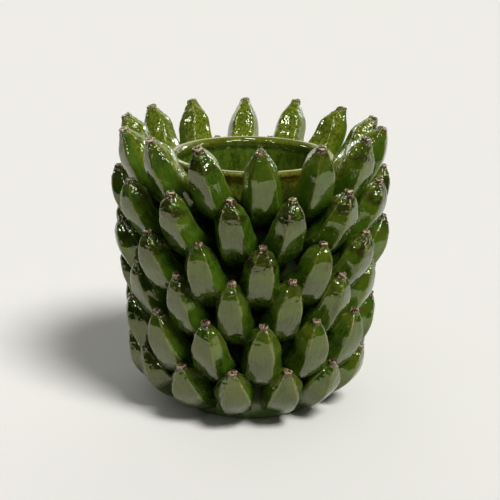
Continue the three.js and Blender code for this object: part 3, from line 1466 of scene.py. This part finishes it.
    def sagged(self, station: Station, from_tip: float) -> Station:
        """Moves a ring out of the belly's middle line, where the pressed clay sags outwards.

        Args:
            station: Where the ring stands.
            from_tip: Distance from the tip in millimetres.

        Returns:
            Where it stands after that.
        """
        sag = self.belly_sag * hump(from_tip, self.belly_sag_at, self.belly_sag_spread) * MM
        outwards = Vector((0.0, -math.sin(station.rise), -math.cos(station.rise)))
        return Station(station.centre + outwards * sag, station.rise)

    def mark_cage(self, banana: Piece, track: SpineTrack) -> None:
        """Writes the attributes that the glaze follows, creases the ridges and groups what is pressed.

        Args:
            banana: The banana before it is smoothed.
            track: The curve that it follows.
        """
        mesh = banana.data
        mesh.attributes.new(Mark.FROM_TIP.value, "FLOAT", "POINT")
        mesh.attributes.new(Mark.RIDGE.value, "FLOAT", "POINT")
        mesh.attributes.new(Mark.SKIN.value, "FLOAT_VECTOR", "POINT")
        mesh.attributes.new("crease_edge", "FLOAT", "EDGE")
        from_tip, ridge, skin = (mesh.attributes[mark.value].data for mark in Mark)
        crease = mesh.attributes["crease_edge"].data
        corners = [round(one.value) for one in mesh.attributes[RingMaker.CORNER].data]
        near_tip = [press for press in self.presses if press.reach]
        distances = []
        for vertex in mesh.vertices:
            distance, around = track.locate(vertex.co)
            from_tip[vertex.index].value = distance
            ridge[vertex.index].value = 1.0 if corners[vertex.index] % 2 == 0 else 0.0
            skin[vertex.index].vector = (math.cos(around), math.sin(around), distance)
            distances.append(distance)
        for edge in mesh.edges:
            one, two = (corners[i] for i in edge.vertices)
            if one == two and one % 2 == 0:
                creased = near_tip[0].share(distances[edge.vertices[0]])
                crease[edge.index].value = lerp(self.ridge_crease, self.tip_crease, creased)
        for press in near_tip:
            group = banana.vertex_groups.new(name=press.name)
            for index, distance in enumerate(distances):
                group.add([index], press.share(distance), "REPLACE")

    def fill_back(self, banana: Piece, track: SpineTrack) -> None:
        """Fills out the shoulder on the side that faces the pot, so that the tip stands forward on it.

        Args:
            banana: The banana before it is smoothed, with its surface attributes.
            track: The curve that it follows.
        """
        skin = banana.data.attributes[Mark.SKIN.value].data
        for vertex in banana.data.vertices:
            inwards, _, from_tip = skin[vertex.index].vector
            share = max(-inwards, 0.0) * hump(from_tip, self.back_fill_at, self.back_fill_spread)
            rise = track.at(min(from_tip, track.length)).rise
            vertex.co += Vector((0.0, math.sin(rise), math.cos(rise))) * (self.back_fill * share * MM)

    def round_ridges(self, banana: Piece) -> None:
        """Rounds the ridges to a small radius, so that each catches a thin line of light.

        Args:
            banana: The smoothed banana, with its surface attributes.
        """
        mesh = Workbench.edit(banana)
        ridge = mesh.verts.layers.float[Mark.RIDGE.value]
        from_tip = mesh.verts.layers.float[Mark.FROM_TIP.value]
        low, high = self.ridge_span
        for edge in mesh.edges:
            if all(vertex[ridge] > self.on_ridge and low < vertex[from_tip] < high for vertex in edge.verts):
                edge.select_set(True)
        bpy.ops.mesh.bevel(offset=self.ridge_bevel * MM, segments=self.ridge_segments, affect="EDGES",
                           clamp_overlap=True)
        Workbench.leave()

    def cut_root(self, banana: Piece, reach: float) -> None:
        """Cuts the root off flat inside the wall of the pot.

        Args:
            banana: The banana at the front of the pot.
            reach: Distance of the cut from the pot's axis in millimetres.
        """
        Workbench.edit(banana, selected=True)
        bpy.ops.mesh.bisect(plane_co=(0, -reach * MM, 0), plane_no=(0, 1, 0), use_fill=True, clear_outer=True)
        Workbench.leave()

    def lay(self, master: Piece, number: int, place: int, name: str) -> Piece:
        """Copies a row's banana to its place round the pot, with its root swayed to one side.

        Args:
            master: The row's banana.
            number: The row, 0 at the top.
            place: The place in the row, 0 at the front.
            name: Name of the piece.

        Returns:
            The banana in its place.
        """
        banana = Workbench.copy(master, name)
        row = self.rows[number]
        sway = row.sway * self.row_step + self.scatter_sway * self.scatter(place, number, Draw.SWAY)
        turn = row.turn + self.scatter_turn * self.scatter(place, number, Draw.TURN)
        turn += 360 / self.per_row * place
        height = self.scatter_height * self.scatter(place, number, Draw.HEIGHT)
        length = SpineTrack(*self.spine(number)).length
        for vertex, mark in zip(banana.data.vertices, banana.data.attributes[Mark.FROM_TIP.value].data):
            share = min(max(mark.value / length, 0.0), 1.0)
            vertex.co.x += sway * MM * math.sin(share * math.pi / 2)
        raised = Matrix.Translation((0, 0, height * MM))
        banana.data.transform(raised @ Matrix.Rotation(math.radians(turn), 4, "Z"))
        return banana

    def patterns(self) -> list[bpy.types.Texture]:
        """Makes the random patterns that the bananas are pressed with.

        Returns:
            The pattern of each kind of press.
        """
        made = []
        for press in self.presses:
            pattern = bpy.data.textures.new(press.name, "CLOUDS")
            pattern.noise_scale = press.grain * MM
            pattern.noise_depth = 1
            made.append(pattern)
        return made

    def build(self, glaze: bpy.types.Material) -> None:
        """Makes all the bananas.

        Args:
            glaze: Their material.
        """
        patterns = self.patterns()
        for number in range(len(self.rows)):
            twists = self.twists + (self.crown_twists if number == 0 else ())
            masters = {twist: self.model_master(number, twist) for twist in twists}
            for place in range(self.per_row):
                node = f"banana_{number + 1}_{place + 1:02d}"
                banana = self.lay(masters[self.twist(place, number)], number, place, f"glazed_{node}")
                for press, pattern in zip(self.presses, patterns):
                    Workbench.apply(banana, "DISPLACE", texture=pattern, texture_coords="LOCAL",
                                    strength=press.strength * MM, mid_level=press.middle,
                                    vertex_group=press.name if press.reach else "")
                Workbench.coat(banana, glaze)
                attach(banana, "root")
                if number < self.separate_rows:
                    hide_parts(node)
            for master in masters.values():
                bpy.data.objects.remove(master)
            LOG.info("row %d: %d bananas", number + 1, self.per_row)


@dataclass(frozen=True)
class Lamp:
    """A light that hangs round the vase and faces it.

    Attributes:
        name: Name of the lamp.
        azimuth: Degrees to the right of the camera's side.
        elevation: Degrees above the floor.
        distance: Distance from the vase in metres.
    """

    name: str
    azimuth: float
    elevation: float
    distance: float

    def hang(self, light: bpy.types.Light, aim_height: float) -> Piece:
        """Hangs the light.

        Args:
            light: The light.
            aim_height: Height of the vase's middle in metres.

        Returns:
            The lamp.
        """
        lamp = bpy.data.objects.new(light.name, light)
        side, up = math.radians(self.azimuth), math.radians(self.elevation)
        away = Vector((math.sin(side) * math.cos(up), -math.cos(side) * math.cos(up), math.sin(up)))
        lamp.location = Vector((0, 0, aim_height)) + away * self.distance
        lamp.rotation_mode = "QUATERNION"
        lamp.rotation_quaternion = (-away).to_track_quat("-Z", "Y")
        bpy.context.scene.collection.objects.link(lamp)
        return lamp


@dataclass(frozen=True)
class SoftLight(Lamp):
    """Soft light from one side, which the glaze doesn't mirror: its spread in degrees and its strength."""

    spread: float
    strength: float

    def build(self, aim_height: float) -> None:
        """Makes the light."""
        light = bpy.data.lights.new(self.name, "SUN")
        light.energy = self.strength
        light.angle = math.radians(self.spread)
        self.hang(light, aim_height).visible_glossy = False


@dataclass(frozen=True)
class Window(Lamp):
    """A window that only the gloss of the glaze mirrors.

    Attributes:
        width: Width in metres.
        height: Height in metres.
        brightness: How bright it is, where 1 is white.
        daylight: Colour of its light.
    """

    width: float
    height: float
    brightness: float
    daylight: Triple = (0.8, 0.9, 1.0)

    def build(self, aim_height: float) -> None:
        """Makes the window.

        Args:
            aim_height: Height of the vase's middle in metres.
        """
        light = bpy.data.lights.new(self.name, "AREA")
        light.shape = "RECTANGLE"
        light.size = self.width
        light.size_y = self.height
        light.energy = self.brightness * math.pi**2 / 4 * self.width * self.height
        light.color = self.daylight
        lamp = self.hang(light, aim_height)
        lamp.visible_camera = False
        lamp.visible_diffuse = False


@dataclass(frozen=True)
class Studio:
    """Pale floor, soft light and the camera at the photograph's angle, in metres and degrees."""

    floor_size: float = 40.0
    aim_height: float = 0.164
    distance: float = 1.36
    elevation: float = 17.3
    roll: float = 1.114
    focal_px: float = 1246.33
    image_px: int = 500
    sensor_mm: float = 36.0
    view_reach: float = 200
    room: Colour = (0.04, 0.04, 0.042, 1.0)
    backdrop: Colour = (0.9, 0.9, 0.87, 1.0)
    backdrop_side: Span = (0.42, 0.62)
    backdrop_top: Span = (0.85, 0.55)
    ceiling_share: float = 0.2
    lamps: tuple[SoftLight | Window, ...] = (
        SoftLight("soft_main", 42, 54, 2.0, spread=20, strength=3.3),
        SoftLight("soft_fill", -50, 62, 2.0, spread=70, strength=0.36),
        Window("window_right_high", 30, 50, 1.9, width=0.40, height=0.30, brightness=20),
        Window("window_right", 40, 28, 1.9, width=0.36, height=0.26, brightness=26),
        Window("window_middle", 10, 32, 1.9, width=0.18, height=0.18, brightness=36),
        Window("window_left", -34, 30, 1.9, width=0.22, height=0.20, brightness=30),
        Window("window_left_high", -34, 58, 1.9, width=0.12, height=0.16, brightness=40),
        Window("window_side_right", 95, 28, 1.9, width=0.24, height=0.20, brightness=26),
        Window("window_side_left", -96, 28, 1.9, width=0.22, height=0.20, brightness=26),
        Window("window_top", 10, 82, 1.9, width=0.20, height=0.20, brightness=30),
        Window("window_back_right", 140, 26, 1.9, width=0.24, height=0.20, brightness=24),
        Window("window_back_left", -150, 30, 1.9, width=0.22, height=0.20, brightness=24),
        Window("window_strip_right", 142, 18, 2.1, width=0.4, height=0.9, brightness=3),
        Window("window_strip_left", -142, 18, 2.1, width=0.4, height=0.9, brightness=3),
    )
    screen_away: float = 0.56
    screen_beside: float = 0.9
    screen_height: float = 0.32
    screen_ends: float = 0.1
    screen_sides: int = 96
    screen_paint: Colour = paint(40, 40, 40)

    def build(self) -> None:
        """Makes the floor, the screen, the light and the camera."""
        self.floor()
        self.screen()
        self.world()
        for lamp in self.lamps:
            lamp.build(self.aim_height)
        LOG.info("studio: %d lamps", len(self.lamps))
        self.camera()

    def floor(self) -> None:
        """Lays the floor."""
        bpy.ops.object.select_all(action="DESELECT")
        bpy.ops.mesh.primitive_plane_add(size=self.floor_size, location=(0, 0, 0))
        floor = bpy.context.object
        floor.name = "floor"
        floor.data.materials.append(MattPaint().make("floor_paint"))
        floor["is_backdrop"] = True
        LOG.info("floor: %.0f m", self.floor_size)

    def screen(self) -> None:
        """Stands a low dark screen round the front of the vase, which only the gloss mirrors."""
        bpy.ops.object.select_all(action="DESELECT")
        bpy.ops.mesh.primitive_cylinder_add(vertices=self.screen_sides, radius=1, depth=self.screen_height,
                                            end_fill_type="NOTHING", location=(0, 0, self.screen_height / 2))
        screen = bpy.context.object
        screen.name = "screen"
        bpy.ops.transform.resize(value=(self.screen_beside, self.screen_away, 1))
        bpy.ops.object.transform_apply(location=True, rotation=True, scale=True)
        mesh = Workbench.edit(screen)
        for face in mesh.faces:
            face.select_set(face.calc_center_median().y > self.screen_ends)
        bpy.ops.mesh.delete(type="FACE")
        Workbench.leave()
        screen.data.materials.append(MattPaint(self.screen_paint).make("screen_paint"))
        for ray in ("camera", "diffuse", "shadow", "transmission"):
            setattr(screen, f"visible_{ray}", False)
        screen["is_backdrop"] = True

    def world(self) -> None:
        """Makes the room: dim in front of the vase, pale behind it and dimmer again overhead."""
        world = bpy.data.worlds.new("studio")
        world.use_nodes = True
        sheet = NodeSheet(world.node_tree)
        place = sheet.place("Generated")
        behind = sheet.step(sheet.axis(place, "Y"), *self.backdrop_side)
        low = sheet.remap(sheet.step(sheet.axis(place, "Z"), *self.backdrop_top), self.ceiling_share, 1.0)
        colour = sheet.mix(self.room, self.backdrop, sheet.both(behind, low))
        sheet.feed(sheet.tree.nodes["Background"].inputs["Color"], colour)
        bpy.context.scene.world = world

    def camera(self) -> None:
        """Puts the camera at the photograph's angle."""
        data = bpy.data.cameras.new("camera")
        data.sensor_width = self.sensor_mm
        data.lens = self.focal_px * self.sensor_mm / self.image_px
        data.clip_end = self.view_reach
        camera = bpy.data.objects.new("camera", data)
        up = math.radians(self.elevation)
        away = Vector((0, -math.cos(up), math.sin(up)))
        camera.location = Vector((0, 0, self.aim_height)) + away * self.distance
        camera.rotation_mode = "QUATERNION"
        level = (-away).to_track_quat("-Z", "Y")
        camera.rotation_quaternion = level @ Quaternion((0, 0, 1), math.radians(self.roll))
        bpy.context.scene.collection.objects.link(camera)
        bpy.context.scene.camera = camera


def corners() -> list[list[float]]:
    """Returns the lowest and highest corner of what is shown, as plain lists."""
    return [list(corner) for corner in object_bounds()]


def main() -> None:
    """Builds the vase and its studio."""
    logging.basicConfig(level=logging.INFO, format="%(name)s: %(message)s")
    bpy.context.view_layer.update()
    bpy.context.scene.view_settings.view_transform = "Standard"
    Pot().build(PotGlaze().make("pot_glaze"))
    BananaRows().build(BananaGlaze().make("banana_glaze"))
    Studio().build()


if __name__ == "__main__":
    main()
